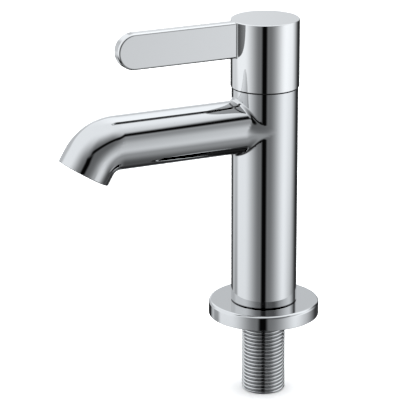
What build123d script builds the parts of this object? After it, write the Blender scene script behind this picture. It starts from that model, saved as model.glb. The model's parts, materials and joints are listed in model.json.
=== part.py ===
from build123d import *
import os
from math import cos, radians, sin

os.makedirs("parts", exist_ok=True)

# A deck-mounted lever tap for one supply. Millimetres, +Z up, spout towards -Y.
# The origin is on the shank's axis, in the plane where the flange rests on the deck.

# Driving dimensions of what shows
flange_radius = 26.65
flange_thickness = 7.2
flange_edge_width = 1.4
flange_edge_knee = 0.4
flange_wall = 2.3
collar_radius = 15.8
collar_top = 7.45
foot_edge_break = 0.25
column_radius = 15.8
column_top = 113.2
spout_radius = 12.7
spout_height = 95.3
spout_run = 76.6
spout_bend_radius = 15.9
spout_bend_angle = 59.3
spout_stub = 5.7
spout_blend = 3.5
handle_radius = 16.3
handle_low = 113.5
handle_top = 146.25
lever_reach = 76.0
lever_height = 17.2
lever_thickness = 6.1
lever_root_blend = 0.8
skirt_edge_break = 0.25
edge_break = 0.4

# Pipe thread of the shank, 1/2 inch nominal, drawn at its crest diameter
shank_radius = 20.955 / 2
shank_length = 39.0
shank_bore = 6.5
shank_chamfer = 0.8
relief_radius = 9.7
relief_length = 3.0
neck_thread_radius = 9.98
neck_top = 22.0

# Clearances
thread_gap = 0.07
seat_gap = 0.05
running_gap = 0.08
lapped_film = 0.02
deck_hole_gap = 0.4
stop_collar_gap = 0.2

# Seal between the column's foot and the collar
foot_seal_radius = 12.4
foot_seal_section = 0.9
tail_seal_bore = 7.1

# Waterway inside the column and the spout
tail_socket_top = 24.0
ledge_height = 3.0
ledge_bore = 7.5
riser_radius = 9.0
riser_low_cone = 2.0
riser_top_cone = 3.0
riser_top = 80.0
seat_height = 84.0
seat_bore = 6.0
chamber_radius = 10.3
chamber_top = 105.3
spout_bore = 9.4

# Spigot on the column, with the ring that the handle turns on
spigot_radius = 13.0
spigot_top = 116.2
glide_flange = 0.25
glide_flange_radius = 15.4

# Ceramic disc cartridge
cage_low = 87.0
cage_radius = 8.9
cage_bore = 7.4
cage_taper = 0.9
seal_skirt_radius = 8.6
disc_radius = 7.3
disc_thickness = 3.2
fixed_disc_low = 89.5
port_inner = 1.9
port_outer = 5.7
port_angle = 78.0
lug_width = 2.6
lug_span = 17.4
window_low = 96.6
window_high = 101.2
window_width = 9.0
stop_low = 102.4
stop_high = 106.2
stop_bore = 6.7
stop_lug_root = 5.7
stop_lug_radius = 7.3
stop_lug_angle = 30.0
quarter_turn = 90.0
stop_margin = 1.0
collar_low = 102.5
collar_high = 105.4
housing_gasket_thickness = 0.8
housing_flange_radius = 12.4
housing_flange_thickness = 1.5
hex_across_flats = 19.0
hex_height = 6.0
housing_neck_radius = 7.0
housing_neck_top = 129.5
journal_radius = 4.95
journal_top = 130.55
drive_bar_width = 4.0
drive_bar_length = 12.8
drive_slot_depth = 1.4
drive_bar_top = 97.6
stem_radius = 3.6
o_ring_heights = (112.5, 119.5)
o_ring_radius = 4.96
groove_radius = 3.95
groove_height = 1.5
circlip_thickness = 0.9
circlip_outer = 6.3
circlip_groove = 4.2
circlip_opening = 60.0
serration_count = 20
serration_tip = 4.0
serration_root = 3.6
serration_top = 139.6

# Hub in the handle
cavity_radius = 13.2
skirt_bore_radius = 14.0
skirt_bore_top = 118.5
cavity_top = 142.0
hub_radius = 7.8
hub_low = 131.8
bush_radius = 6.0
bush_top = 140.2
bush_flat = 5.3
bush_slot = 0.8
screw_height = 137.0
screw_radius = 2.5
screw_chamfer = 0.3
screw_length = 6.5
screw_socket = 2.5
screw_socket_depth = 2.4
screw_boss_width = 9.0
plug_radius = 3.0
plug_depth = 2.6
plug_face = 16.0
plug_edge_break = 0.25
rib_width = 3.0
rib_reach = 15.3
rib_top = 145.2

# Flow straightener in the mouth of the spout, measured inwards from the mouth
aerator_socket_radius = 10.75
aerator_socket_depth = 10.0
aerator_recess = 0.8
aerator_bore = 9.3
aerator_lip = 8.7
aerator_lip_height = 0.8
aerator_top = 8.5
key_notch_width = 2.4
key_notch_depth = 1.4
honeycomb_height = 2.4
honeycomb_rim = 0.9
cell_pitch = 2.5
cell_across = 2.05
screen_thickness = 0.3
screen_pitch = 2.3
screen_opening = 1.5
screen_rows = 7
jet_plate_thickness = 2.2
jet_count = 12
jet_radius = 0.6
jet_circle = 6.6
washer_bore = 8.4


def ring(inner, outer, low, high):
    # A flat ring about the column's axis, between two heights
    with BuildPart() as flat_ring:
        with BuildSketch(Plane.XY.offset(low)):
            Circle(outer)
            Circle(inner, mode=Mode.SUBTRACT)
        extrude(amount=high - low)
    return flat_ring


def serrations(tip, root):
    # The closed outline of a triangular serration, for a sketch
    step = 360 / serration_count
    points = []
    for tooth in range(serration_count):
        for radius, angle in ((tip, tooth * step), (root, (tooth + 0.5) * step)):
            points.append((radius * cos(radians(angle)), radius * sin(radians(angle))))
    Polygon(*points, align=None)


def sector(inner, outer, middle, width):
    # A ring sector, with its middle and its width in degrees
    with BuildSketch() as outline:
        with BuildLine():
            near = CenterArc((0, 0), inner, middle - width / 2, width)
            far = CenterArc((0, 0), outer, middle - width / 2, width)
            Line(near @ 0, far @ 0)
            Line(near @ 1, far @ 1)
        make_face()
    return outline.sketch


def cells(pitch, reach):
    # Hexagonal places about the centre, as far out as the reach
    count = 2 * int(reach / pitch) + 3
    places = HexLocations(pitch / 2, count, count).local_locations
    centre = min(places, key=lambda place: place.position.length).position
    places = [Location(place.position - centre) for place in places]
    return [place for place in places if place.position.length < reach]


# The flange is a cup turned upside down, with a low collar for the column's foot
with BuildPart() as deck_flange:
    with BuildSketch(Plane.XZ):
        with BuildLine():
            Polyline(
                (flange_radius - flange_edge_knee, flange_thickness - flange_edge_knee),
                (flange_radius - flange_edge_width, flange_thickness),
                (collar_radius, flange_thickness),
                (collar_radius, collar_top),
                (shank_radius + deck_hole_gap, collar_top),
                (shank_radius + deck_hole_gap, flange_thickness - flange_wall),
                (flange_radius - flange_wall, flange_thickness - flange_wall),
                (flange_radius - flange_wall, 0),
                (flange_radius, 0),
                (flange_radius, flange_thickness - flange_edge_width),
                close=True,
            )
        make_face()
    revolve(axis=Axis.Z)
deck_flange.part.label = "deck_flange"
export_step(deck_flange.part, "parts/deck_flange.step")

flange_gasket = ring(
    shank_radius + deck_hole_gap,
    flange_radius - flange_wall - seat_gap,
    0,
    flange_thickness - flange_wall,
)
flange_gasket.part.label = "flange_gasket"
export_step(flange_gasket.part, "parts/flange_gasket.step")

# The shank is a pipe, threaded outside, that screws up into the column
with BuildPart() as threaded_tail:
    with BuildSketch(Plane.XZ):
        with BuildLine():
            Polyline(
                (shank_bore, -shank_length),
                (shank_radius - shank_chamfer, -shank_length),
                (shank_radius, shank_chamfer - shank_length),
                (shank_radius, 0),
                (relief_radius, shank_chamfer),
                (relief_radius, relief_length),
                (neck_thread_radius, relief_length + shank_chamfer / 2),
                (neck_thread_radius, neck_top - shank_chamfer),
                (neck_thread_radius - shank_chamfer, neck_top),
                (shank_bore, neck_top),
                close=True,
            )
        make_face()
    revolve(axis=Axis.Z)
threaded_tail.part.label = "threaded_tail"
export_step(threaded_tail.part, "parts/threaded_tail.step")

tail_seal = ring(tail_seal_bore, neck_thread_radius - shank_chamfer, neck_top, tail_socket_top)
tail_seal.part.label = "tail_seal"
export_step(tail_seal.part, "parts/tail_seal.step")

# Column and spout are one casting, hollow from the shank's socket to the mouth
with BuildPart() as faucet_body:
    with BuildSketch(Plane.XZ):
        with BuildLine():
            Polyline(
                (0, collar_top),
                (0, spigot_top),
                (spigot_radius, spigot_top),
                (spigot_radius, column_top),
                (column_radius, column_top),
                (column_radius, collar_top + foot_edge_break),
                (column_radius - foot_edge_break, collar_top),
                close=True,
            )
        make_face()
    revolve(axis=Axis.Z)
    with BuildLine(Plane.YZ) as spout_line:
        straight = Line((0, spout_height), (-spout_run, spout_height))
        bend = JernArc(straight @ 1, straight % 1, spout_bend_radius, spout_bend_angle)
        stub = Line(bend @ 1, bend @ 1 + (bend % 1) * spout_stub)
    with BuildSketch(Plane(straight @ 0, x_dir=(1, 0, 0), z_dir=(0, -1, 0))):
        Circle(spout_radius)
    sweep(path=spout_line.line)
    junction = (
        faucet_body.edges()
        .filter_by(lambda edge: edge.geom_type not in (GeomType.LINE, GeomType.CIRCLE))
        .filter_by(lambda edge: abs(edge.center().Z - spout_height) < spout_radius)
    )
    fillet(junction, spout_blend)
    mouth = Plane(stub @ 1, x_dir=(1, 0, 0), z_dir=-(stub % 1))
    mouth_rim = faucet_body.edges().filter_by(GeomType.CIRCLE).sort_by_distance(stub @ 1)[0]
    chamfer(mouth_rim, edge_break)
    # Groove for the foot's seal
    with BuildSketch(Plane.XY.offset(collar_top)):
        Circle(foot_seal_radius + foot_seal_section + seat_gap)
        Circle(foot_seal_radius - foot_seal_section - seat_gap, mode=Mode.SUBTRACT)
    extrude(amount=2 * foot_seal_section, mode=Mode.SUBTRACT)
    # Socket for the shank, ledge for its seal, riser, seat and cartridge chamber
    with BuildSketch(Plane.XZ):
        with BuildLine():
            Polyline(
                (0, collar_top),
                (neck_thread_radius + thread_gap, collar_top),
                (neck_thread_radius + thread_gap, tail_socket_top),
                (ledge_bore, tail_socket_top),
                (ledge_bore, tail_socket_top + ledge_height),
                (riser_radius, tail_socket_top + ledge_height + riser_low_cone),
                (riser_radius, riser_top - riser_top_cone),
                (seat_bore, riser_top),
                (seat_bore, seat_height),
                (chamber_radius, seat_height),
                (chamber_radius, chamber_top),
                (shank_radius + thread_gap, chamber_top),
                (shank_radius + thread_gap, spigot_top),
                (0, spigot_top),
                close=True,
            )
        make_face()
    revolve(axis=Axis.Z, mode=Mode.SUBTRACT)
    with BuildSketch(Plane(straight @ 0, x_dir=(1, 0, 0), z_dir=(0, -1, 0))):
        Circle(spout_bore)
    sweep(path=spout_line.line, mode=Mode.SUBTRACT)
    with BuildSketch(mouth):
        Circle(aerator_socket_radius)
    extrude(amount=aerator_socket_depth, mode=Mode.SUBTRACT)
faucet_body.part.label = "faucet_body"
export_step(faucet_body.part, "parts/faucet_body.step")

# The seals are drawn as they are when squeezed, filling their grooves
foot_seal = ring(
    foot_seal_radius - foot_seal_section,
    foot_seal_radius + foot_seal_section,
    collar_top,
    collar_top + 2 * foot_seal_section,
)
foot_seal.part.label = "foot_seal"
export_step(foot_seal.part, "parts/foot_seal.step")

# The ring that guides the handle's skirt, with a thin flange that the skirt runs on
with BuildPart() as glide_ring:
    with BuildSketch(Plane.XZ):
        with BuildLine():
            Polyline(
                (spigot_radius + seat_gap, column_top),
                (glide_flange_radius, column_top),
                (glide_flange_radius, column_top + glide_flange),
                (skirt_bore_radius - running_gap, column_top + glide_flange),
                (skirt_bore_radius - running_gap, spigot_top),
                (spigot_radius + seat_gap, spigot_top),
                close=True,
            )
        make_face()
    revolve(axis=Axis.Z)
glide_ring.part.label = "glide_ring"
export_step(glide_ring.part, "parts/glide_ring.step")

housing_gasket_top = spigot_top + housing_gasket_thickness
housing_gasket = ring(shank_radius + seat_gap, housing_flange_radius, spigot_top, housing_gasket_top)
housing_gasket.part.label = "housing_gasket"
export_step(housing_gasket.part, "parts/housing_gasket.step")

# Cartridge housing: slotted cage, thread, seating flange, hexagon and neck
hex_low = housing_gasket_top + housing_flange_thickness
through_cut = 3 * cage_radius
stop_pocket_angle = quarter_turn + stop_lug_angle + 2 * stop_margin
with BuildPart() as cartridge_housing:
    with BuildSketch(Plane.XZ):
        with BuildLine():
            Polyline(
                (0, cage_low),
                (cage_radius, cage_low),
                (cage_radius, chamber_top + thread_gap),
                (shank_radius, chamber_top + thread_gap + cage_taper),
                (shank_radius, housing_gasket_top),
                (housing_flange_radius, housing_gasket_top),
                (housing_flange_radius, hex_low),
                (housing_neck_radius, hex_low),
                (housing_neck_radius, housing_neck_top),
                (0, housing_neck_top),
                close=True,
            )
        make_face()
    revolve(axis=Axis.Z)
    with BuildSketch(Plane.XY.offset(hex_low)):
        RegularPolygon(hex_across_flats / 2, 6, major_radius=False)
    extrude(amount=hex_height)
    with BuildSketch(Plane.XY.offset(cage_low)):
        Circle(cage_bore)
    extrude(amount=stop_low - cage_low, mode=Mode.SUBTRACT)
    with BuildSketch(Plane.XY.offset(stop_low)):
        Circle(stop_bore)
        add(sector(stop_lug_root, cage_bore, quarter_turn / 2, stop_pocket_angle))
    extrude(amount=stop_high - stop_low, mode=Mode.SUBTRACT)
    with BuildSketch(Plane.XY.offset(stop_high)):
        Circle(journal_radius + seat_gap)
    extrude(amount=housing_neck_top - stop_high, mode=Mode.SUBTRACT)
    with BuildSketch(Plane.XY.offset(window_low)):
        Rectangle(through_cut, window_width)
        Rectangle(window_width, through_cut)
    extrude(amount=window_high - window_low, mode=Mode.SUBTRACT)
    with BuildSketch(Plane.XY.offset(cage_low)):
        Rectangle(through_cut, lug_width + 2 * seat_gap)
    extrude(amount=fixed_disc_low + disc_thickness - cage_low, mode=Mode.SUBTRACT)
cartridge_housing.part.label = "cartridge_housing"
export_step(cartridge_housing.part, "parts/cartridge_housing.step")

# Rubber seal between the seat and the fixed disc, stepped so that the cage holds it
with BuildPart() as seat_seal:
    with BuildSketch(Plane.XZ):
        with BuildLine():
            Polyline(
                (seat_bore, seat_height),
                (seal_skirt_radius, seat_height),
                (seal_skirt_radius, cage_low),
                (cage_bore - seat_gap, cage_low),
                (cage_bore - seat_gap, fixed_disc_low),
                (seat_bore, fixed_disc_low),
                close=True,
            )
        make_face()
    revolve(axis=Axis.Z)
seat_seal.part.label = "seat_seal"
export_step(seat_seal.part, "parts/seat_seal.step")

# Lower ceramic disc: two ports on the X axis, and two lugs that lock it in the cage
with BuildPart() as fixed_disc:
    with BuildSketch(Plane.XY.offset(fixed_disc_low)):
        Circle(disc_radius)
        Rectangle(lug_span, lug_width)
        add(sector(port_inner, port_outer, 0, port_angle), mode=Mode.SUBTRACT)
        add(sector(port_inner, port_outer, 180, port_angle), mode=Mode.SUBTRACT)
    extrude(amount=disc_thickness)
fixed_disc.part.label = "fixed_disc"
export_step(fixed_disc.part, "parts/fixed_disc.step")

# Upper ceramic disc: its ports stand on the Y axis when the tap is closed
moving_disc_low = fixed_disc_low + disc_thickness + lapped_film
moving_disc_top = moving_disc_low + disc_thickness
with BuildPart() as moving_disc:
    with BuildSketch(Plane.XY.offset(moving_disc_low)):
        Circle(disc_radius - seat_gap)
        add(sector(port_inner, port_outer, 90, port_angle), mode=Mode.SUBTRACT)
        add(sector(port_inner, port_outer, 270, port_angle), mode=Mode.SUBTRACT)
    extrude(amount=disc_thickness)
    with BuildSketch(Plane.XY.offset(moving_disc_top)):
        Rectangle(through_cut, drive_bar_width)
    extrude(amount=-drive_slot_depth, mode=Mode.SUBTRACT)
moving_disc.part.label = "moving_disc"
export_step(moving_disc.part, "parts/moving_disc.step")

# Spindle: drive bar, stem, stop collar, journal with its grooves, and serrated head
bar_low = moving_disc_top - drive_slot_depth + seat_gap
with BuildPart() as spindle:
    with BuildSketch(Plane.XZ):
        with BuildLine():
            Polyline(
                (0, moving_disc_top + seat_gap),
                (stem_radius, moving_disc_top + seat_gap),
                (stem_radius, collar_low),
                (stop_bore - stop_collar_gap, collar_low),
                (stop_bore - stop_collar_gap, collar_high),
                (journal_radius, collar_high),
                (journal_radius, journal_top - circlip_thickness),
                (circlip_groove, journal_top - circlip_thickness),
                (circlip_groove, journal_top + seat_gap),
                (journal_radius, journal_top + seat_gap),
                (journal_radius, hub_low - seat_gap),
                (0, hub_low - seat_gap),
                close=True,
            )
        make_face()
    revolve(axis=Axis.Z)
    with BuildSketch(Plane.XY.offset(bar_low)):
        Circle(drive_bar_length / 2)
        Rectangle(drive_bar_length, drive_bar_width - 2 * seat_gap, mode=Mode.INTERSECT)
    extrude(amount=drive_bar_top - bar_low)
    with BuildSketch(Plane.XY.offset(collar_low)):
        add(sector(stop_lug_root, stop_lug_radius, 0, stop_lug_angle))
    extrude(amount=collar_high - collar_low)
    for height in o_ring_heights:
        with BuildSketch(Plane.XY.offset(height - groove_height / 2)):
            Circle(stop_bore)
            Circle(groove_radius, mode=Mode.SUBTRACT)
        extrude(amount=groove_height, mode=Mode.SUBTRACT)
    with BuildSketch(Plane.XY.offset(hub_low - seat_gap)):
        serrations(serration_tip, serration_root)
    extrude(amount=serration_top - hub_low + seat_gap)
spindle.part.label = "spindle"
export_step(spindle.part, "parts/spindle.step")

thrust_washer = ring(journal_radius + seat_gap, stop_bore - stop_collar_gap, collar_high, stop_high)
thrust_washer.part.label = "thrust_washer"
export_step(thrust_washer.part, "parts/thrust_washer.step")

with BuildPart() as spindle_o_rings:
    for height in o_ring_heights:
        with BuildSketch(Plane.XY.offset(height - groove_height / 2)):
            Circle(o_ring_radius)
            Circle(groove_radius, mode=Mode.SUBTRACT)
        extrude(amount=groove_height)
spindle_o_rings.part.label = "spindle_o_rings"
export_step(spindle_o_rings.part, "parts/spindle_o_rings.step")

with BuildPart() as circlip:
    with BuildSketch(Plane.XY.offset(journal_top - circlip_thickness)):
        add(sector(circlip_groove, circlip_outer, 180, 360 - circlip_opening))
    extrude(amount=circlip_thickness)
circlip.part.label = "circlip"
export_step(circlip.part, "parts/circlip.step")

# Handle: barrel and lever in one casting, with a hub for the serrated bush
with BuildPart() as handle:
    with BuildSketch(Plane.XY.offset(handle_top - lever_height)):
        Circle(handle_radius)
        with Locations((0, -lever_reach / 2)):
            Rectangle(lever_thickness, lever_reach)
        roots = vertices().filter_by(lambda corner: -handle_radius < corner.Y < 0)
        fillet(roots, lever_root_blend)
    extrude(amount=lever_height)
    with BuildSketch(Plane.YZ.offset(-handle_radius)):
        with BuildLine():
            end_radius = lever_height / 2
            end_centre = end_radius - lever_reach
            upper = Line((handle_radius, handle_top), (end_centre, handle_top))
            CenterArc((end_centre, handle_top - end_radius), end_radius, 90, 180)
            lower = Line((end_centre, handle_top - lever_height), (handle_radius, handle_top - lever_height))
            Line(upper @ 0, lower @ 1)
        make_face()
    extrude(amount=2 * handle_radius, mode=Mode.INTERSECT)
    chamfer(handle.faces().sort_by(Axis.Z)[-1].edges(), edge_break)
    with BuildSketch(Plane.XY.offset(handle_low)):
        Circle(handle_radius)
    extrude(amount=handle_top - edge_break - handle_low)
    chamfer(handle.faces().sort_by(Axis.Z)[0].edges(), skirt_edge_break)
    # Cavity with the hub, the boss for the screw and three ribs
    with BuildSketch(Plane.XZ):
        with BuildLine():
            Polyline(
                (0, handle_low),
                (skirt_bore_radius, handle_low),
                (skirt_bore_radius, skirt_bore_top),
                (cavity_radius, skirt_bore_top),
                (cavity_radius, cavity_top),
                (0, cavity_top),
                close=True,
            )
        make_face()
    revolve(axis=Axis.Z, mode=Mode.SUBTRACT)
    with BuildSketch(Plane.XY.offset(hub_low)):
        Circle(hub_radius)
        with Locations((0, rib_reach / 2)):
            Rectangle(screw_boss_width, rib_reach)
        with Locations((0, -rib_reach / 2)):
            Rectangle(rib_width, rib_reach)
        Rectangle(2 * rib_reach, rib_width)
    extrude(amount=rib_top - hub_low)
    with BuildSketch(Plane.XY.offset(hub_low)):
        Circle(bush_radius + seat_gap)
    extrude(amount=bush_top - hub_low, mode=Mode.SUBTRACT)
    with BuildSketch(Plane.XZ.offset(-handle_radius)):
        with Locations((0, screw_height)):
            Circle(screw_radius + seat_gap)
    extrude(amount=handle_radius - bush_flat, mode=Mode.SUBTRACT)
    with BuildSketch(Plane.XZ.offset(-handle_radius)):
        with Locations((0, screw_height)):
            Circle(plug_radius)
    extrude(amount=plug_depth + handle_radius - plug_face, mode=Mode.SUBTRACT)
handle.part.label = "handle"
export_step(handle.part, "parts/handle.step")

# Split bush that carries the serrations, with a flat for the screw's point
with BuildPart() as spline_bush:
    with BuildSketch(Plane.XY.offset(hub_low)):
        Circle(bush_radius)
        with Locations((0, bush_flat + bush_radius / 2)):
            Rectangle(2 * bush_radius, bush_radius, mode=Mode.SUBTRACT)
        with Locations((0, -bush_radius)):
            Rectangle(bush_slot, 2 * bush_radius, mode=Mode.SUBTRACT)
    extrude(amount=bush_top - hub_low)
    with BuildSketch(Plane.XY.offset(hub_low)):
        serrations(serration_tip + seat_gap, serration_root + seat_gap)
    extrude(amount=serration_top + seat_gap - hub_low, mode=Mode.SUBTRACT)
spline_bush.part.label = "spline_bush"
export_step(spline_bush.part, "parts/spline_bush.step")

with BuildPart() as grub_screw:
    with BuildSketch(Plane.XZ.offset(-bush_flat)):
        with Locations((0, screw_height)):
            Circle(screw_radius)
    extrude(amount=-screw_length)
    ends = grub_screw.edges().filter_by(GeomType.CIRCLE)
    chamfer(ends, screw_chamfer)
    with BuildSketch(Plane.XZ.offset(-bush_flat - screw_length)):
        with Locations((0, screw_height)):
            RegularPolygon(screw_socket / 2, 6, major_radius=False)
    extrude(amount=screw_socket_depth, mode=Mode.SUBTRACT)
grub_screw.part.label = "grub_screw"
export_step(grub_screw.part, "parts/grub_screw.step")

with BuildPart() as screw_plug:
    with BuildSketch(Plane.XZ.offset(-plug_face)):
        with Locations((0, screw_height)):
            Circle(plug_radius - seat_gap)
    extrude(amount=plug_depth)
    face_rim = screw_plug.edges().filter_by(GeomType.CIRCLE).sort_by(Axis.Y)[-1]
    chamfer(face_rim, plug_edge_break)
screw_plug.part.label = "screw_plug"
export_step(screw_plug.part, "parts/screw_plug.step")

# Flow straightener, built on the plane of the spout's mouth
with BuildPart() as aerator_housing:
    with BuildSketch(mouth.offset(aerator_recess)):
        Circle(aerator_socket_radius - seat_gap)
        Circle(aerator_lip, mode=Mode.SUBTRACT)
    extrude(amount=aerator_top - aerator_recess)
    with BuildSketch(mouth.offset(aerator_recess + aerator_lip_height)):
        Circle(aerator_bore)
    extrude(amount=aerator_top, mode=Mode.SUBTRACT)
    with BuildSketch(mouth.offset(aerator_recess)):
        with PolarLocations(aerator_socket_radius, 4, 45):
            Rectangle(key_notch_width, key_notch_width)
    extrude(amount=key_notch_depth, mode=Mode.SUBTRACT)
aerator_housing.part.label = "aerator_housing"
export_step(aerator_housing.part, "parts/aerator_housing.step")

honeycomb_low = aerator_recess + aerator_lip_height
with BuildPart() as aerator_honeycomb:
    with BuildSketch(mouth.offset(honeycomb_low)):
        Circle(aerator_bore - seat_gap)
        with Locations(*cells(cell_pitch, aerator_bore - honeycomb_rim - cell_pitch / 2)):
            RegularPolygon(cell_across / 2, 6, major_radius=False, rotation=30, mode=Mode.SUBTRACT)
    extrude(amount=honeycomb_height)
aerator_honeycomb.part.label = "aerator_honeycomb"
export_step(aerator_honeycomb.part, "parts/aerator_honeycomb.step")

screen_low = honeycomb_low + honeycomb_height
screen_reach = aerator_bore - honeycomb_rim - screen_pitch / 2
screen_grid = GridLocations(screen_pitch, screen_pitch, screen_rows, screen_rows).local_locations
with BuildPart() as aerator_screen:
    with BuildSketch(mouth.offset(screen_low)):
        Circle(aerator_bore - seat_gap)
        with Locations(*[place for place in screen_grid if place.position.length < screen_reach]):
            Rectangle(screen_opening, screen_opening, mode=Mode.SUBTRACT)
    extrude(amount=screen_thickness)
aerator_screen.part.label = "aerator_screen"
export_step(aerator_screen.part, "parts/aerator_screen.step")

# The jet plate stands on a skirt above the screen and splits the stream
jet_plate_low = aerator_top - jet_plate_thickness
with BuildPart() as aerator_jet_plate:
    with BuildSketch(mouth.offset(screen_low + screen_thickness)):
        Circle(aerator_bore - seat_gap)
        Circle(aerator_lip, mode=Mode.SUBTRACT)
    extrude(amount=jet_plate_low - screen_low - screen_thickness)
    with BuildSketch(mouth.offset(jet_plate_low)):
        Circle(aerator_bore - seat_gap)
        with PolarLocations(jet_circle, jet_count):
            RegularPolygon(jet_radius, 6, mode=Mode.SUBTRACT)
    extrude(amount=jet_plate_thickness)
aerator_jet_plate.part.label = "aerator_jet_plate"
export_step(aerator_jet_plate.part, "parts/aerator_jet_plate.step")

with BuildPart() as aerator_washer:
    with BuildSketch(mouth.offset(aerator_top)):
        Circle(aerator_socket_radius - seat_gap)
        Circle(washer_bore, mode=Mode.SUBTRACT)
    extrude(amount=aerator_socket_depth - aerator_top)
aerator_washer.part.label = "aerator_washer"
export_step(aerator_washer.part, "parts/aerator_washer.step")
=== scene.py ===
import json
from math import cos, hypot, pi, radians, sin, tan

import bmesh
import bpy
from mathutils import Matrix, Vector


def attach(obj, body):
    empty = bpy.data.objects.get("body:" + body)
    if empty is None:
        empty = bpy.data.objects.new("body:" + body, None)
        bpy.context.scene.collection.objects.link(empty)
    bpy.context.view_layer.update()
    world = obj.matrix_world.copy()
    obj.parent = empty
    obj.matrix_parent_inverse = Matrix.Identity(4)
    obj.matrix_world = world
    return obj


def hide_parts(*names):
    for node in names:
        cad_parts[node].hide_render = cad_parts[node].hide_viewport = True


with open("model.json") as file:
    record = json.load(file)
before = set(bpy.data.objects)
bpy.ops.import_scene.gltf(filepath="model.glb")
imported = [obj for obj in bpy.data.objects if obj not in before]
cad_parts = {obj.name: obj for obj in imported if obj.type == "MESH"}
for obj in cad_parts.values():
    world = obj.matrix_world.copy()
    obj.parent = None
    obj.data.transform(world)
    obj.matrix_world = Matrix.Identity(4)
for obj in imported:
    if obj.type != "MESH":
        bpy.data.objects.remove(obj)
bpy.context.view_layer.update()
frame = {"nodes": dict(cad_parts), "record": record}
scene = bpy.context.scene
mm = 0.001                      # the pieces are described in millimetres
inDegrees = 180 / pi
print("frame loaded")


def addObject(name, data):
    made = bpy.data.objects.new(name, data)
    scene.collection.objects.link(made)
    return made


# camera, fitted to the tap's outlines
viewpoint = {
    "turn": 64.8545,            # degrees round the tap, 0 looks along +Y
    "rise": 17.6845,
    "roll": -0.160,
    "distance": 1.10206,
    "aim": (0, 0, 0.060),
    "slide": (-0.030737, -0.002732),    # to the picture's right and up
    "focalPixels": 2304.53,
    "framePixels": 400,
    "sensor": 36,
}


def placeCamera(spec):
    turn, rise, roll = (radians(spec[name]) for name in ("turn", "rise", "roll"))
    back = Vector((sin(turn) * cos(rise), -cos(turn) * cos(rise), sin(rise)))
    right = Vector((cos(turn), sin(turn), 0))
    up = back.cross(right)
    place = Vector(spec["aim"]) + back * spec["distance"] + right * spec["slide"][0] + up * spec["slide"][1]
    across = right * cos(roll) + up * sin(roll)
    upright = up * cos(roll) - right * sin(roll)
    data = bpy.data.cameras.new("photoCamera")
    data.sensor_width = spec["sensor"]
    data.lens = spec["focalPixels"] / spec["framePixels"] * spec["sensor"]
    camera = addObject("photoCamera", data)
    camera.matrix_world = Matrix.Translation(place) @ Matrix((across, upright, back)).transposed().to_4x4()
    scene.camera = camera


placeCamera(viewpoint)
scene.view_settings.view_transform = "Standard"
print("camera placed")


# Each input gets another node's socket or a plain value
def fillInputs(tree, node, inputs):
    for key, value in inputs.items():
        if isinstance(value, bpy.types.NodeSocket):
            tree.links.new(value, node.inputs[key])
        else:
            node.inputs[key].default_value = value


def addNode(tree, kind, inputs=None, **settings):
    node = tree.nodes.new(kind)
    for name, value in settings.items():
        setattr(node, name, value)
    fillInputs(tree, node, inputs or {})
    return node


def addMath(tree, operation, *values):
    return addNode(tree, "ShaderNodeMath", dict(enumerate(values)), operation=operation).outputs[0]


def addStep(tree, value, low, high):
    inputs = {"Value": value, "From Min": low, "From Max": high}
    return addNode(tree, "ShaderNodeMapRange", inputs, interpolation_type="SMOOTHSTEP").outputs["Result"]


def addNoise(tree, place, scale, detail):
    inputs = {"Vector": place, "Scale": scale, "Detail": detail}
    return addNode(tree, "ShaderNodeTexNoise", inputs).outputs["Fac"]


def addShaderChoice(tree, choice, first, second):
    return addNode(tree, "ShaderNodeMixShader", {0: choice, 1: first.outputs[0], 2: second.outputs[0]}).outputs[0]


def startGroup(name, inputs, outputs):
    group = bpy.data.node_groups.new(name, "ShaderNodeTree")
    for way, sockets in (("INPUT", inputs), ("OUTPUT", outputs)):
        for socket in sockets:
            kind = "NodeSocketColor" if "Colour" in socket else "NodeSocketFloat"
            group.interface.new_socket(socket, in_out=way, socket_type=kind)
    return group, addNode(group, "NodeGroupInput").outputs


# studio surroundings, a chain of soft cards round the tap under a bright ceiling
studio = {
    "cameraTurn": -25.15,       # degrees from +X to the camera
    "chromeShare": 0.83,        # how much of the light the chrome gives back
    "ceilingLevel": 228,        # levels are those of the picture, 0 to 255
    "tint": (0.945, 0.978, 1.01),
    "backdrop": 1.2,            # the white that the camera sees behind the tap
}
bounceLoss = {                  # the share of light that is lost when it meets the chrome again
    "second": 0.08,
    "high": 0.5,                # and more of it, the steeper it comes from above
    "highRise": (0.0, 65.0),
    "low": 0.6,                 # or from below
    "lowRise": (5.0, -12.0),
    "later": 0.6,
    "secondDepth": 2.5,         # the depth counts the camera's own ray too
    "laterDepth": 3.5,
}
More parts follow.
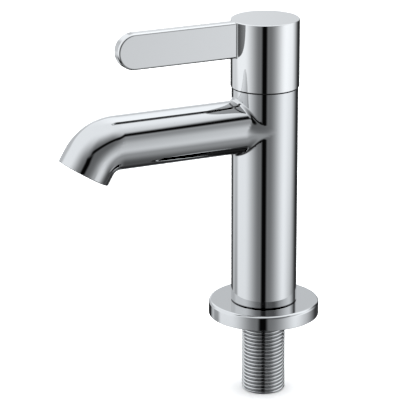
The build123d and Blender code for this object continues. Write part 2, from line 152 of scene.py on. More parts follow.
# Each card's middle, by its turn to the picture's right and its rise, then its half size and its soft edge, all in
# degrees, and its level. A later card covers the ones before it
cards = {
    "rearHigh": {"at": (143, 45), "half": (49.5, 20.2), "soft": (24.7, 8.0), "level": 247},
    "leftLow": {"at": (-108, -66), "half": (125.3, 33.9), "soft": (20.8, 16.8), "level": 16},
    "room": {"at": (15, 0), "half": (61.5, 45.6), "soft": (28.7, 33.2), "level": 104},
    "sideLight": {"at": (79, -18), "half": (33.5, 35.7), "soft": (32.2, 15), "level": 240},
    "tableLight": {"at": (80, -50), "half": (63.8, 22), "soft": (11.5, 12), "level": 140},
    "tableDark": {"at": (30, -77), "half": (167.6, 20.1), "soft": (19.5, 14.9), "level": 64},
    "shade": {"at": (17, 24), "half": (27.3, 24.3), "soft": (12.7, 23.1), "level": 91},
    "rightDark": {"at": (144, 1), "half": (25.8, 29.8), "soft": (21.7, 11.7), "level": 39},
    "rightLow": {"at": (126, -31), "half": (39.2, 9.6), "soft": (23.9, 12.0), "level": 27},
    "rearDark": {"at": (-166, -18), "half": (27, 6.5), "soft": (13, 3), "level": 12},
    "rearUpper": {"at": (156, 24), "half": (9.3, 20.2), "soft": (7.3, 9.8), "level": 195},
    "leftRear": {"at": (-143, 5), "half": (20.0, 15.5), "soft": (10.2, 4.6), "level": 183},
    "leftDark": {"at": (-120, -33), "half": (11.6, 14.2), "soft": (6.9, 13.7), "level": 22},
    "frontFloor": {"at": (-2, -50), "half": (12, 26), "soft": (8, 8), "level": 18},
    "flagUpright": {"at": (-3, -7), "half": (8.8, 29.9), "soft": (4.3, 4.0), "level": 5},
    "flagSloping": {"at": (21, 30), "half": (24, 4.6), "soft": (4, 2.6), "lean": 0.14, "level": 3},
    "flagTail": {"at": (54, 38.6), "half": (14, 4.2), "soft": (3, 2.6), "lean": 0.6, "level": 6},
    "rearHaze": {"at": (180, 21), "half": (16, 4.5), "soft": (4, 2.5), "level": 189},
}
cardSockets = (
    "Turn", "Rise", "Centre Turn", "Centre Rise", "Half Width", "Half Height", "Soft Turn", "Soft Rise", "Lean",
)


# A level of the picture as light, by the screen's own curve
def toLinear(level):
    return ((level / 255 + 0.055) / 1.055) ** 2.4


def makeCardGroup():
    group, source = startGroup("softCard", cardSockets, ("Mask",))
    away = addMath(group, "SUBTRACT", source["Turn"], source["Centre Turn"])
    away = addMath(group, "WRAP", away, 180, -180)
    middle = addMath(group, "MULTIPLY_ADD", away, source["Lean"], source["Centre Rise"])
    above = addMath(group, "ABSOLUTE", addMath(group, "SUBTRACT", source["Rise"], middle))
    beside = addMath(group, "ABSOLUTE", away)
    masks = []
    for distance, half, soft in ((beside, "Half Width", "Soft Turn"), (above, "Half Height", "Soft Rise")):
        outer = addMath(group, "ADD", source[half], source[soft])
        inner = addMath(group, "SUBTRACT", source[half], source[soft])
        masks.append(addStep(group, distance, outer, inner))
    addNode(group, "NodeGroupOutput", {"Mask": addMath(group, "MULTIPLY", *masks)})
    return group


def addCards(tree, spec, turn, rise):
    group = makeCardGroup()
    level = toLinear(spec["ceilingLevel"]) / spec["chromeShare"]
    for name, card in cards.items():
        numbers = (turn, rise, *card["at"], *card["half"], *card["soft"], card.get("lean", 0))
        mask = addNode(tree, "ShaderNodeGroup", dict(zip(cardSockets, numbers)), node_tree=group, label=name)
        mixed = {"Factor": mask.outputs["Mask"], "A": level, "B": toLinear(card["level"]) / spec["chromeShare"]}
        level = addNode(tree, "ShaderNodeMix", mixed).outputs["Result"]
    return level


def addLoss(tree, loss, rise, depth):
    high = addStep(tree, rise, *loss["highRise"])
    low = addStep(tree, rise, *loss["lowRise"])
    lost = addMath(tree, "MULTIPLY_ADD", high, loss["high"], loss["second"])
    lost = addMath(tree, "MULTIPLY_ADD", low, loss["low"], lost)
    lost = addMath(tree, "MULTIPLY", lost, addMath(tree, "GREATER_THAN", depth, loss["secondDepth"]))
    later = addMath(tree, "GREATER_THAN", depth, loss["laterDepth"])
    return addMath(tree, "MULTIPLY_ADD", later, loss["later"], lost)


def makeStudio(spec):
    world = bpy.data.worlds.new("studio")
    world.use_nodes = True
    tree = world.node_tree
    tree.nodes.clear()
    direction = addNode(tree, "ShaderNodeTexCoord").outputs["Generated"]
    parts = addNode(tree, "ShaderNodeSeparateXYZ", {0: direction}).outputs
    turn = addMath(tree, "ARCTAN2", parts["Y"], parts["X"])
    turn = addMath(tree, "MULTIPLY_ADD", turn, inDegrees, -spec["cameraTurn"])
    rise = addMath(tree, "MULTIPLY", addMath(tree, "ARCSINE", parts["Z"]), inDegrees)
    level = addCards(tree, spec, turn, rise)
    path = addNode(tree, "ShaderNodeLightPath").outputs
    kept = addMath(tree, "SUBTRACT", 1.0, addLoss(tree, bounceLoss, rise, path["Ray Depth"]))
    shares = [addMath(tree, "MULTIPLY", level, share) for share in spec["tint"]]
    tinted = addNode(tree, "ShaderNodeCombineColor", dict(enumerate(shares))).outputs[0]
    around = addNode(tree, "ShaderNodeBackground", {"Color": tinted, "Strength": kept})
    plain = addNode(tree, "ShaderNodeBackground", {"Color": (1, 1, 1, 1), "Strength": spec["backdrop"]})
    surface = addShaderChoice(tree, path["Is Camera Ray"], around, plain)
    addNode(tree, "ShaderNodeOutputWorld", {"Surface": surface})
    scene.world = world


# floor, which is see-through from below
floorSpec = {
    "height": -39.0 * mm, "radius": 4.0, "segments": 96,
    "look": {"Base Color": (0.93, 0.93, 0.93, 1), "Roughness": 0.9, "Specular IOR Level": 0.0},
}


def makeFloor(spec):
    disc = bmesh.new()
    bmesh.ops.create_circle(disc, cap_ends=True, segments=spec["segments"], radius=spec["radius"])
    bmesh.ops.translate(disc, verts=disc.verts, vec=(0, 0, spec["height"]))
    mesh = bpy.data.meshes.new("floor")
    disc.to_mesh(mesh)
    disc.free()
    floor = addObject("floor", mesh)
    floor.visible_glossy = False
    material = bpy.data.materials.new("paleFloor")
    material.use_nodes = True
    tree = material.node_tree
    shader = tree.nodes["Principled BSDF"]
    fillInputs(tree, shader, spec["look"])
    fromBelow = addNode(tree, "ShaderNodeNewGeometry").outputs["Backfacing"]
    surface = addShaderChoice(tree, fromBelow, shader, addNode(tree, "ShaderNodeBsdfTransparent"))
    tree.links.new(surface, tree.nodes["Material Output"].inputs["Surface"])
    mesh.materials.append(material)


# a wide lamp overhead, for the floor and the inside of the tap
lampSpec = {"place": (0, 0, 1.6), "size": 3.0, "power": 75}


def makeLamp(spec):
    data = bpy.data.lights.new("overheadLamp", "AREA")
    data.shape = "DISK"
    data.size = spec["size"]
    data.energy = spec["power"]
    lamp = addObject("overheadLamp", data)
    lamp.location = spec["place"]
    lamp.visible_glossy = False
    lamp.visible_camera = False


makeStudio(studio)
makeFloor(floorSpec)
makeLamp(lampSpec)
print("studio made")


# chrome finishes
platedFinish = {
    "buffing": (220, 4),        # scale and detail of the noise
    "buffingSpread": (0.5, 0.75),   # the roughness goes from 0.75 to 1.25 of its value
    "haze": (38, 2),
    "relief": {"Strength": 0.1, "Distance": 0.02 * mm},
}
chromeLooks = {
    "polishedChrome": {"colour": (0.83, 0.835, 0.84), "roughness": 0.035, "waviness": 0.2},
    # The handle gets a brighter copy of the body's chrome: painted light that makes the handle read lighter than
    # the body
    "handleChromePaintedLight": {"colour": (0.93, 0.93, 0.93), "roughness": 0.035, "waviness": 0.2},
    "platedThread": {"colour": (0.83, 0.835, 0.84), "roughness": 0.05, "waviness": 0.5},
}


def makePlatedGroup(spec):
    group, source = startGroup("platedSurface", ("Roughness", "Waviness"), ("Roughness", "Height"))
    place = addNode(group, "ShaderNodeTexCoord").outputs["Object"]
    spread = addMath(group, "MULTIPLY_ADD", addNoise(group, place, *spec["buffing"]), *spec["buffingSpread"])
    rough = addMath(group, "MULTIPLY", source["Roughness"], spread)
    height = addMath(group, "MULTIPLY", addNoise(group, place, *spec["haze"]), source["Waviness"])
    addNode(group, "NodeGroupOutput", {"Roughness": rough, "Height": height})
    return group


# A material over a shared group. Plain chrome has its colour on the shader, the others get theirs from the group
def makeFinish(name, group, look, relief, metallic):
    material = bpy.data.materials.new(name)
    material.use_nodes = True
    tree = material.node_tree
    colour = (*look["colour"], 1)
    values = {key.capitalize(): value for key, value in look.items() if key not in ("colour", "dull")}
    if "dull" in look:
        values.update({"Colour": colour, "Dull Colour": (*look["dull"], 1)})
    surface = addNode(tree, "ShaderNodeGroup", values, node_tree=group).outputs
    bump = addNode(tree, "ShaderNodeBump", {"Height": surface["Height"], **relief})
    fillInputs(tree, tree.nodes["Principled BSDF"], {
        "Base Color": surface["Colour"] if "dull" in look else colour,
        "Metallic": metallic,
        "Roughness": surface["Roughness"],
        "Normal": bump.outputs["Normal"],
    })
    return material


platedGroup = makePlatedGroup(platedFinish)
chromes = {
    name: makeFinish(name, platedGroup, look, platedFinish["relief"], 1) for name, look in chromeLooks.items()
}
print("chrome made")


# How near a point has to lie, in mm, and how far two faces may turn, in degrees
allowed = {
    "merged": 0.002,            # two points that are one
    "flat": 0.01,               # on a flat face
    "ring": 0.02,               # on the ring of points of an edge
    "round": 0.03,              # on a round face, whose facets cut a little below it
    "rim": 0.04,                # on the ring where an edge meets a round face
    "cut": 0.02,                # a point that a cut leaves where it is
    "offSurface": 50,           # a facet that doesn't belong to the surface it touches
    "sameSurface": 35,          # facets that meet smoothly
}


def finishPiece(mesh, name, node, material, body):
    piece = addObject(name, mesh)
    mesh.materials.clear()
    mesh.materials.append(material)
    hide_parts(node)
    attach(piece, body)
    return piece


def toMesh(shape, mesh):
    for face in shape.faces:
        face.smooth = True
    shape.to_mesh(mesh)
    shape.free()
    return mesh


def wholeOf(shape):
    return shape.verts[:] + shape.edges[:] + shape.faces[:]


# The normals of real surfaces: each finder takes a point in mm and gives None where the point lies off its surface
def cylinderNormal(start, along, radius, above=None, hollow=False):
    start, along = Vector(start), Vector(along).normalized()
    side = -1 if hollow else 1

    def find(point):
        offset = point - start
        offset -= along * offset.dot(along)
        if abs(offset.length - radius) > allowed["round"] or (above is not None and point.z < above):
            return None
        return offset.normalized() * side
    return find


def planeNormal(start, facing):
    start, facing = Vector(start), Vector(facing).normalized()

    def find(point):
        return facing if abs((point - start).dot(facing)) <= allowed["flat"] else None
    return find


def bendNormal(start, axis, sweep, radius):
    start, axis = Vector(start), Vector(axis).normalized()

    def find(point):
        offset = point - start
        flat = offset - axis * offset.dot(axis)
        out = offset - flat.normalized() * sweep
        return out.normalized() if abs(out.length - radius) <= allowed["round"] else None
    return find


# A merged copy of a node's mesh, changed by reshape
def mergedCopy(spec, reshape):
    mesh = frame["nodes"][spec["node"]].data.copy()
    shell = bmesh.new()
    shell.from_mesh(mesh)
    bmesh.ops.remove_doubles(shell, verts=shell.verts, dist=allowed["merged"] * mm)
    bmesh.ops.recalc_face_normals(shell, faces=shell.faces)
    reshape(shell, spec)
    return toMesh(shell, mesh)


# Each corner gets the normal of the surface it lies on, or else the mean of the facets that meet smoothly there.
# A blend's own normal comes before both
def setNormals(mesh, finders, blendNormal=None):
    offSurface, sameSurface = (cos(radians(allowed[name])) for name in ("offSurface", "sameSurface"))
    touching = [[] for vertex in mesh.vertices]
    for face in mesh.polygons:
        for vertex in face.vertices:
            touching[vertex].append(face.index)
    facing = [Vector(face.normal) for face in mesh.polygons]
    known = [[found for found in (find(vertex.co / mm) for find in finders) if found] for vertex in mesh.vertices]
    blended = [blendNormal(vertex.co / mm) if blendNormal else None for vertex in mesh.vertices]

    def meanNormal(vertex, own):
        total = Vector((0, 0, 0))
        for other in touching[vertex]:
            if facing[other].dot(own) > sameSurface:
                ends = [mesh.vertices[end].co for end in mesh.polygons[other].vertices if end != vertex]
                arms = [end - mesh.vertices[vertex].co for end in ends]
                total += facing[other] * arms[0].angle(arms[1], 0)
        return total.normalized() if total.length else own

    corners = [None] * len(mesh.loops)
    for face in mesh.polygons:
        own = facing[face.index]
        for loop in face.loop_indices:
            vertex = mesh.loops[loop].vertex_index
            best = blended[vertex]
            if best is None:
                best = max(known[vertex], key=own.dot, default=None)
                if best is None or best.dot(own) < offSurface:
                    best = meanNormal(vertex, own)
            corners[loop] = best
    mesh.normals_split_custom_set(corners)


# The lower edge of a round piece is made wider, by moving the two rings of points that bound it
def widenEdge(shell, radius, edge):
    for vert in shell.verts:
        reach, height = vert.co.xy.length / mm, vert.co.z / mm
        if abs(reach - edge["footRadius"]) < allowed["ring"] and abs(height - edge["foot"]) < allowed["ring"]:
            vert.co.xy *= (radius - edge["width"]) / reach
            vert.co.z = edge["seat"] * mm
        elif abs(reach - radius) < allowed["rim"] and abs(height - edge["top"]) < allowed["ring"]:
            vert.co.z = (edge["seat"] + edge["width"]) * mm


# faucet body
bodySpec = {
    "node": "faucet_body",
    "column": 15.8,             # radii of column and spout
    "spout": 12.7,
    "foot": 8.5,                # the column's wall is straight from here to its top
    "top": 113.2,
    "height": 95.3,             # of the spout's middle
    "straight": -76.6,          # how far the spout runs out before its bend
    "sweep": 15.9,
    "bend": 59.3,               # degrees
    "tail": 5.7,                # from the bend to the mouth
    "seam": {                   # the dark line on the flange. The first three are where the node's own edge lies
        "footRadius": 15.55, "foot": 7.45, "top": 7.7, "seat": 7.2, "width": 0.55,
    },
    "onSpout": (1.5, 2.2, 4.5, 1.2, 1.5),   # how far the blend reaches along the spout, from below to above
    "onColumn": (1.2, 1.2, 3.1, 0.9, 1.5),  # and along the column
    "skin": 0.4,                # how deep under the surface a point still counts as outside
    "rounds": 4,                # how often each point is drawn to the blend
    "slopeStep": 0.004,
    "grid": {                   # the box round the junction and its steps
        "low": (-16.0, -20.0, 78.0), "high": (16.0, 0.0, 112.0), "coarse": 0.9, "fine": 0.45, "fineBelow": 86.0,
    },
}


def bodySurfaces(spec):
    bend, sweep = radians(spec["bend"]), spec["sweep"]
    middle = Vector((0, spec["straight"], spec["height"] - sweep))
    end = middle + Vector((0, -sin(bend), cos(bend))) * sweep
    outward = Vector((0, -cos(bend), -sin(bend)))
    return [
        cylinderNormal((0, 0, 0), (0, 0, 1), spec["column"], above=spec["foot"]),
        cylinderNormal((0, 0, spec["height"]), (0, 1, 0), spec["spout"]),
        bendNormal(middle, (1, 0, 0), sweep, spec["spout"]),
        cylinderNormal(end, outward, spec["spout"]),
        planeNormal(end + outward * spec["tail"], outward),
        planeNormal((0, 0, spec["top"]), (0, 0, 1)),
    ]


# How far a point lies outside the column and outside the spout
def fromBoth(x, y, z, spec):
    return hypot(x, y) - spec["column"], hypot(x, z - spec["height"]) - spec["spout"]


# How far a point lies outside the blended surface
def junctionField(x, y, z, spec):
    fromColumn, fromSpout = fromBoth(x, y, z, spec)
    last = len(spec["onSpout"]) - 1
    place = (1 + max(-1.0, min(1.0, (z - spec["height"]) / spec["spout"]))) * last / 2
    below = min(int(place), last - 1)
    share = place - below
    share *= share * (3 - 2 * share)
    onSpout, onColumn = (
        reach[below] * (1 - share) + reach[below + 1] * share for reach in (spec["onSpout"], spec["onColumn"])
    )
    nearColumn = max(1 - fromColumn / onSpout, 0)
    nearSpout = max(1 - fromSpout / onColumn, 0)
    if nearColumn == 0 or nearSpout == 0:
        return min(fromColumn, fromSpout)
    return (1 - hypot(nearColumn, nearSpout)) * min(onSpout, onColumn)


def junctionSlope(x, y, z, spec):
    step = spec["slopeStep"]
    return Vector((
        junctionField(x + step, y, z, spec) - junctionField(x - step, y, z, spec),
        junctionField(x, y + step, z, spec) - junctionField(x, y - step, z, spec),
        junctionField(x, y, z + step, spec) - junctionField(x, y, z - step, spec),
    )) / (2 * step)


def atJunction(point, spec):
    box = zip(spec["grid"]["low"], point, spec["grid"]["high"])
    return all(low <= value <= high for low, value, high in box) and min(fromBoth(*point, spec)) > -spec["skin"]


def cutAcross(shell, geometry, axis, place):
    facing = Vector([float(axis == other) for other in range(3)])
    return bmesh.ops.bisect_plane(
        shell, geom=geometry, dist=allowed["cut"] * mm, plane_co=facing * place * mm, plane_no=facing,
    )["geom"]


# The skin round the junction is cut into a fine grid, and its points are drawn to the blend
def blendJunction(shell, spec):
    grid = spec["grid"]
    for axis in (1, 2):
        for side in ("low", "high"):
            cutAcross(shell, wholeOf(shell), axis, grid[side][axis])
    faces = [face for face in shell.faces if atJunction(face.calc_center_median() / mm, spec)]
    geometry = list(dict.fromkeys(part for face in faces for part in (*face.verts, *face.edges))) + faces
    for axis in range(3):
        place = grid["low"][axis]
        while place < grid["high"][axis]:
            geometry = cutAcross(shell, geometry, axis, place)
            place += grid["fine"] if axis == 2 and place < grid["fineBelow"] else grid["coarse"]
    for vert in shell.verts:
        point = vert.co / mm
        if atJunction(point, spec):
            for again in range(spec["rounds"]):
                slope = junctionSlope(*point, spec)
                point -= slope * (junctionField(*point, spec) / slope.length_squared)
            vert.co = point * mm
    bmesh.ops.triangulate(shell, faces=[face for face in shell.faces if len(face.verts) > 3])


def junctionNormal(point):
    if not atJunction(point, bodySpec) or junctionField(*point, bodySpec) > allowed["flat"]:
        return None
    return junctionSlope(*point, bodySpec).normalized()


def shapeBody(shell, spec):
    widenEdge(shell, spec["column"], spec["seam"])
    blendJunction(shell, spec)


bodyMesh = mergedCopy(bodySpec, shapeBody)
setNormals(bodyMesh, bodySurfaces(bodySpec), junctionNormal)
finishPiece(bodyMesh, "faucetBodySkin", "faucet_body", chromes["polishedChrome"], "tap")
print("faucet body made")


# handle
handleSpec = {
    "node": "handle",
    "barrel": 16.3,             # radius
    "foot": 114,                # the barrel's wall is straight from here to its top
    "top": 146.25,
    "half": 3.05,               # half the lever's thickness
    "tip": -67.4,               # where the round of the lever's end has its middle
    "middle": 137.65,
    "round": 8.6,
    "root": -16.661,            # the hollow rounds where the lever leaves the barrel
    "rootRound": 0.8,
    "skirt": {                  # the dark line over the column
        "footRadius": 16.05, "foot": 113.5, "top": 113.75, "seat": 113.5, "width": 0.5,
    },
    "rim": {"from": -16.6, "edge": 0.4, "width": 1.1},     # the node's own edge break, and the wider one
}


def handleSurfaces(spec):
    finders = [
        cylinderNormal((0, 0, 0), (0, 0, 1), spec["barrel"], above=spec["foot"]),
        planeNormal((0, 0, spec["top"]), (0, 0, 1)),
        planeNormal((0, 0, spec["middle"] - spec["round"]), (0, 0, -1)),
        cylinderNormal((0, spec["tip"], spec["middle"]), (1, 0, 0), spec["round"]),
    ]
    for side in (1, -1):
        root = (side * (spec["half"] + spec["rootRound"]), spec["root"], 0)
        finders.append(planeNormal((side * spec["half"], 0, 0), (side, 0, 0)))
        finders.append(cylinderNormal(root, (0, 0, 1), spec["rootRound"], hollow=True))
    return finders


# The lever's rim is rounded more than the solid's, so its light and dark lines show
def widenRim(shell, spec):
    rim = spec["rim"]
    centre = Vector((spec["tip"], spec["middle"]))
    for vert in shell.verts:
        x, y, z = vert.co / mm
        if y > rim["from"]:
            continue
        arm = Vector((min(y, spec["tip"]), z)) - centre
        reach = spec["round"] - arm.length
        fromSide = spec["half"] - abs(x)
        if abs(reach) < allowed["round"] and abs(fromSide - rim["edge"]) < allowed["round"]:
            vert.co.x *= (spec["half"] - rim["width"]) / abs(x)
        elif abs(reach - rim["edge"]) < allowed["round"] and abs(fromSide) < allowed["round"]:
            inward = arm.normalized() * (rim["width"] - reach) * mm
            vert.co.y -= inward.x
            vert.co.z -= inward.y


def shapeHandle(shell, spec):
    widenEdge(shell, spec["barrel"], spec["skirt"])
    widenRim(shell, spec)


handleMesh = mergedCopy(handleSpec, shapeHandle)
setNormals(handleMesh, handleSurfaces(handleSpec))
# the handle wears the brighter copy of the chrome, painted light
finishPiece(handleMesh, "handleSkin", "handle", chromes["handleChromePaintedLight"], "lever_handle")
print("handle made")


# deck flange
flangeSpec = {
    "profile": [                # radius and height, the flat top runs in under the column to a hidden collar
        (26.65, 0), (26.65, 7.2), (13.3, 7.2), (13.3, 7.45),
        (10.8775, 7.45), (10.8775, 4.9), (24.35, 4.9), (24.35, 0),
    ],
    "rounds": [(26.65, 7.2, 1.4, 8), (26.65, 0, 0.35, 4), (24.35, 0, 0.2, 2)],     # place, width and segments
    "steps": 144,
    "faceWeight": 60,           # how much more the large faces count for the normals
}


def turnProfile(points, steps):
    shape = bmesh.new()
    ring = [shape.verts.new((radius * mm, 0, height * mm)) for radius, height in points]
    edges = [shape.edges.new((ring[k - 1], ring[k])) for k in range(len(ring))]
    bmesh.ops.spin(
        shape, geom=ring + edges, axis=(0, 0, 1), cent=(0, 0, 0), steps=steps, angle=2 * pi, use_merge=True,
    )
    bmesh.ops.recalc_face_normals(shape, faces=shape.faces)
    return shape


def roundRing(shape, radius, height, width, segments):
    def onRing(vert):
        away = max(abs(vert.co.xy.length - radius * mm), abs(vert.co.z - height * mm))
        return away < allowed["flat"] * mm

    chosen = [edge for edge in shape.edges if all(onRing(vert) for vert in edge.verts)]
    bmesh.ops.bevel(
        shape, geom=chosen, offset=width * mm, segments=segments, profile=0.5, affect="EDGES", material=-1,
    )


flangeShape = turnProfile(flangeSpec["profile"], flangeSpec["steps"])
for ringRound in flangeSpec["rounds"]:
    roundRing(flangeShape, *ringRound)
flangeMesh = toMesh(flangeShape, bpy.data.meshes.new("deckFlange"))
flangePiece = finishPiece(flangeMesh, "deckFlange", "deck_flange", chromes["polishedChrome"], "tap")
weighNormals = flangePiece.modifiers.new("weighNormals", "WEIGHTED_NORMAL")
weighNormals.keep_sharp = True
weighNormals.weight = flangeSpec["faceWeight"]
print("deck flange made")


# threaded shank
threadSpec = {
    "crest": 20.955 / 2,        # half-inch pipe thread, 14 ridges to the inch
    "pitch": 25.4 / 14,
    "flank": 62.5,              # degrees from upright, for a groove of 55
    "crestTilt": 36,            # the round of the crest turns this far to each side
    "crestRound": 0.40,         # radii as parts of the pitch
    "cornerRound": 0.05,
    "rootRound": 0.04,
    "arcSteps": 4,
    "steps": 120,
    "low": -39.0,
    "high": 0.7,
    "lead": 1.5,                # turns that start below the end, and spare ones above, before both are cut off
    "spare": 4,
    "chamfer": 0.8,
    "bore": 6.5,
    "neck": [(9.7, 0.8), (9.7, 3.0), (9.98, 3.4), (9.98, 21.2), (9.18, 22.0), (6.5, 22.0)],     # radius, height
}


# The half profile of one ridge, from the middle of its crest to the middle of the groove
def ridgeProfile(spec):
    crest, corner, root = (spec[name] * spec["pitch"] for name in ("crestRound", "cornerRound", "rootRound"))
    tilt, steep = radians(spec["crestTilt"]), radians(spec["flank"])
    steps = spec["arcSteps"]
    depth, along = 0.0, 0.0
    half = [(depth, along)]
    for radius, first, last in ((crest, 0.0, tilt), (corner, tilt, steep)):
        for k in range(1, steps + 1):
            angle = first + (last - first) * k / steps
            half.append((depth + radius * (cos(first) - cos(angle)), along + radius * (sin(angle) - sin(first))))
        depth, along = half[-1]
    straight = spec["pitch"] / 2 - along - root * sin(steep)
    depth, along = depth + straight * tan(steep), along + straight
    for k in range(steps + 1):
        angle = steep * (1 - k / steps)
        half.append((depth + root * (cos(angle) - cos(steep)), spec["pitch"] / 2 - root * sin(angle)))
    return half


# One turn of the helix is spun and stacked
def stackTurns(shape, spec):
    pitch, crest = spec["pitch"], spec["crest"]
    half = ridgeProfile(spec)
    profile = [(crest - depth, along) for depth, along in half]
    profile += [(crest - depth, pitch - along) for depth, along in half[-2:0:-1]]
    profile.append((profile[0][0], profile[0][1] + pitch))
    start = spec["low"] - spec["lead"] * pitch
    ring = [shape.verts.new((radius * mm, 0, (start + height) * mm)) for radius, height in profile]
    edges = [shape.edges.new((ring[k], ring[k + 1])) for k in range(len(ring) - 1)]
    bmesh.ops.spin(
        shape, geom=ring + edges, axis=(0, 0, 1), cent=(0, 0, 0), steps=spec["steps"], angle=2 * pi,
        dvec=(0, 0, pitch * mm / spec["steps"]),
    )
    oneTurn = wholeOf(shape)
    for k in range(1, int((spec["high"] - spec["low"]) / pitch) + spec["spare"]):
        copied = bmesh.ops.duplicate(shape, geom=oneTurn)["geom"]
        verts = [part for part in copied if isinstance(part, bmesh.types.BMVert)]
        bmesh.ops.translate(shape, verts=verts, vec=(0, 0, k * pitch * mm))
    bmesh.ops.remove_doubles(shape, verts=shape.verts, dist=allowed["merged"] * mm)


# Both ends are cut square, the lower one is chamfered and the upper one runs out to the neck
def trimEnds(shape, spec):
    for height, above in ((spec["low"], False), (spec["high"], True)):
        bmesh.ops.bisect_plane(
            shape, geom=wholeOf(shape), plane_co=(0, 0, height * mm), plane_no=(0, 0, 1),
            clear_outer=above, clear_inner=not above,
        )
    neckRadius, neckHeight = spec["neck"][0]
    for vert in shape.verts:
        fromEnd = min(vert.co.z / mm - spec["low"], spec["chamfer"])
        limit = spec["crest"] - spec["chamfer"] + fromEnd
        if vert.co.z > 0:
            limit = spec["crest"] - (spec["crest"] - neckRadius) * vert.co.z / (neckHeight * mm)
        reach = vert.co.xy.length
        if reach > limit * mm:
            vert.co.xy = vert.co.xy * (limit * mm / reach)


def closeThread(shape, spec):
    def circle(radius, height):
        made = bmesh.ops.create_circle(shape, segments=spec["steps"], radius=radius * mm)["verts"]
        bmesh.ops.translate(shape, verts=made, vec=(0, 0, height * mm))
        return list(dict.fromkeys(edge for vert in made for edge in vert.link_edges))

    def openEdges(height):
        return [
            edge for edge in shape.edges
            if len(edge.link_faces) == 1
            and all(abs(vert.co.z - height * mm) < allowed["merged"] * mm for vert in edge.verts)
        ]

    lower = openEdges(spec["low"])
    upper = openEdges(spec["high"])
    rings = [upper, *(circle(*point) for point in spec["neck"]), circle(spec["bore"], spec["low"]), lower]
    for first, second in zip(rings, rings[1:]):
        bmesh.ops.bridge_loops(shape, edges=first + second)
    bmesh.ops.recalc_face_normals(shape, faces=shape.faces)


threadShape = bmesh.new()
stackTurns(threadShape, threadSpec)
trimEnds(threadShape, threadSpec)
closeThread(threadShape, threadSpec)
openLeft = sum(len(edge.link_faces) != 2 for edge in threadShape.edges)
threadMesh = toMesh(threadShape, bpy.data.meshes.new("threadedShank"))
finishPiece(threadMesh, "threadedShank", "threaded_tail", chromes["platedThread"], "tap")
print("threaded shank made, open edges", openLeft, "faces", len(threadMesh.polygons))


# finishes on the pieces inside
turnedFinish = {
    "distortion": 1.5,
    "patches": (260, 4),        # scale and detail of the noise
    "patchEdge": (0.42, 0.72),
    "patchRoughness": 0.16,
    "markRoughness": 0.05,
}
turnedLooks = {                 # rings is the wave's scale, 1257 for marks 0.25 mm apart
    "brass": {"colour": (0.80, 0.58, 0.25), "dull": (0.55, 0.36, 0.15), "roughness": 0.20, "rings": 1257},
    "steel": {"colour": (0.62, 0.63, 0.64), "dull": (0.42, 0.43, 0.45), "roughness": 0.26, "rings": 1900},
}
grainFinish = {
    "grainDetail": 3,
    "grainEdge": (0.5, 0.75),
    "grainRoughness": 0.12,
    "mottling": (340, 3),
    "mottlingEdge": (0.35, 0.7),
    "dullShare": 0.5,           # the most that the grain and the mottling each add of the dull colour
}
grainLooks = {
    "ceramic": {
        "colour": (0.86, 0.85, 0.80), "dull": (0.74, 0.73, 0.69),
        "grain": 2600, "roughness": 0.22, "height": 0.15,
    },
    "acetal": {
        "colour": (0.030, 0.030, 0.034), "dull": (0.055, 0.055, 0.060),
        "grain": 1800, "roughness": 0.46, "height": 0.5,
    },
    "grey_plastic": {
        "colour": (0.47, 0.48, 0.49), "dull": (0.38, 0.39, 0.41),
        "grain": 1500, "roughness": 0.42, "height": 0.5,
    },
    "black_rubber": {
        "colour": (0.018, 0.018, 0.018), "dull": (0.045, 0.045, 0.043),
        "grain": 3200, "roughness": 0.62, "height": 1.0,
    },
    "fibre": {
        "colour": (0.34, 0.09, 0.055), "dull": (0.20, 0.05, 0.035),
        "grain": 1100, "roughness": 0.82, "height": 1.6,
    },
}
innerRelief = {"Strength": 0.4, "Distance": 0.03 * mm}
surfaceSockets = ("Colour", "Roughness", "Height")


def addDullColour(group, source, share):
    inputs = {"Factor": share, "A": source["Colour"], "B": source["Dull Colour"]}
    return addNode(group, "ShaderNodeMix", inputs, data_type="RGBA").outputs["Result"]


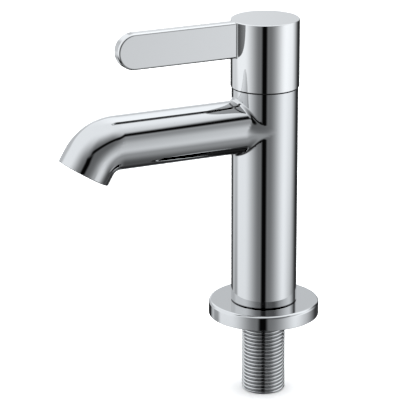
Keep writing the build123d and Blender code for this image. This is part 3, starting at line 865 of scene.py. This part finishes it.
# Fine turning marks round the column's axis, over patches of duller metal
def makeTurnedGroup(spec):
    group, source = startGroup("turnedSurface", ("Colour", "Dull Colour", "Rings", "Roughness"), surfaceSockets)
    place = addNode(group, "ShaderNodeTexCoord").outputs["Object"]
    inputs = {"Vector": place, "Scale": source["Rings"], "Distortion": spec["distortion"]}
    marks = addNode(group, "ShaderNodeTexWave", inputs, wave_type="RINGS", rings_direction="Z").outputs["Fac"]
    patches = addStep(group, addNoise(group, place, *spec["patches"]), *spec["patchEdge"])
    rough = addMath(group, "MULTIPLY_ADD", patches, spec["patchRoughness"], source["Roughness"])
    rough = addMath(group, "MULTIPLY_ADD", marks, spec["markRoughness"], rough)
    colour = addDullColour(group, source, patches)
    addNode(group, "NodeGroupOutput", {"Colour": colour, "Roughness": rough, "Height": marks})
    return group


# Moulded, sintered or pressed material: fine grain over slow mottling
def makeGrainGroup(spec):
    sockets = ("Colour", "Dull Colour", "Grain", "Roughness", "Height")
    group, source = startGroup("grainSurface", sockets, surfaceSockets)
    place = addNode(group, "ShaderNodeTexCoord").outputs["Object"]
    grain = addNoise(group, place, source["Grain"], spec["grainDetail"])
    mottling = addStep(group, addNoise(group, place, *spec["mottling"]), *spec["mottlingEdge"])
    share = addMath(group, "MULTIPLY", mottling, spec["dullShare"])
    share = addMath(group, "MULTIPLY_ADD", addStep(group, grain, *spec["grainEdge"]), spec["dullShare"], share)
    rough = addMath(group, "MULTIPLY_ADD", grain, spec["grainRoughness"], source["Roughness"])
    height = addMath(group, "MULTIPLY", grain, source["Height"])
    colour = addDullColour(group, source, share)
    addNode(group, "NodeGroupOutput", {"Colour": colour, "Roughness": rough, "Height": height})
    return group


slotMaterials = {"chrome": chromes["polishedChrome"], "plated_thread": chromes["platedThread"]}
turnedGroup = makeTurnedGroup(turnedFinish)
grainGroup = makeGrainGroup(grainFinish)
for group, looks, metallic in ((turnedGroup, turnedLooks, 1), (grainGroup, grainLooks, 0)):
    for slot, look in looks.items():
        slotMaterials[slot] = makeFinish(slot + "Look", group, look, innerRelief, metallic)
for subpart in frame["record"]["subparts"]:
    node = frame["nodes"][subpart["node"]]
    if not node.hide_render:
        for slotPlace in node.material_slots:
            slotPlace.material = slotMaterials[subpart["material_slot"]]
print("materials assigned")
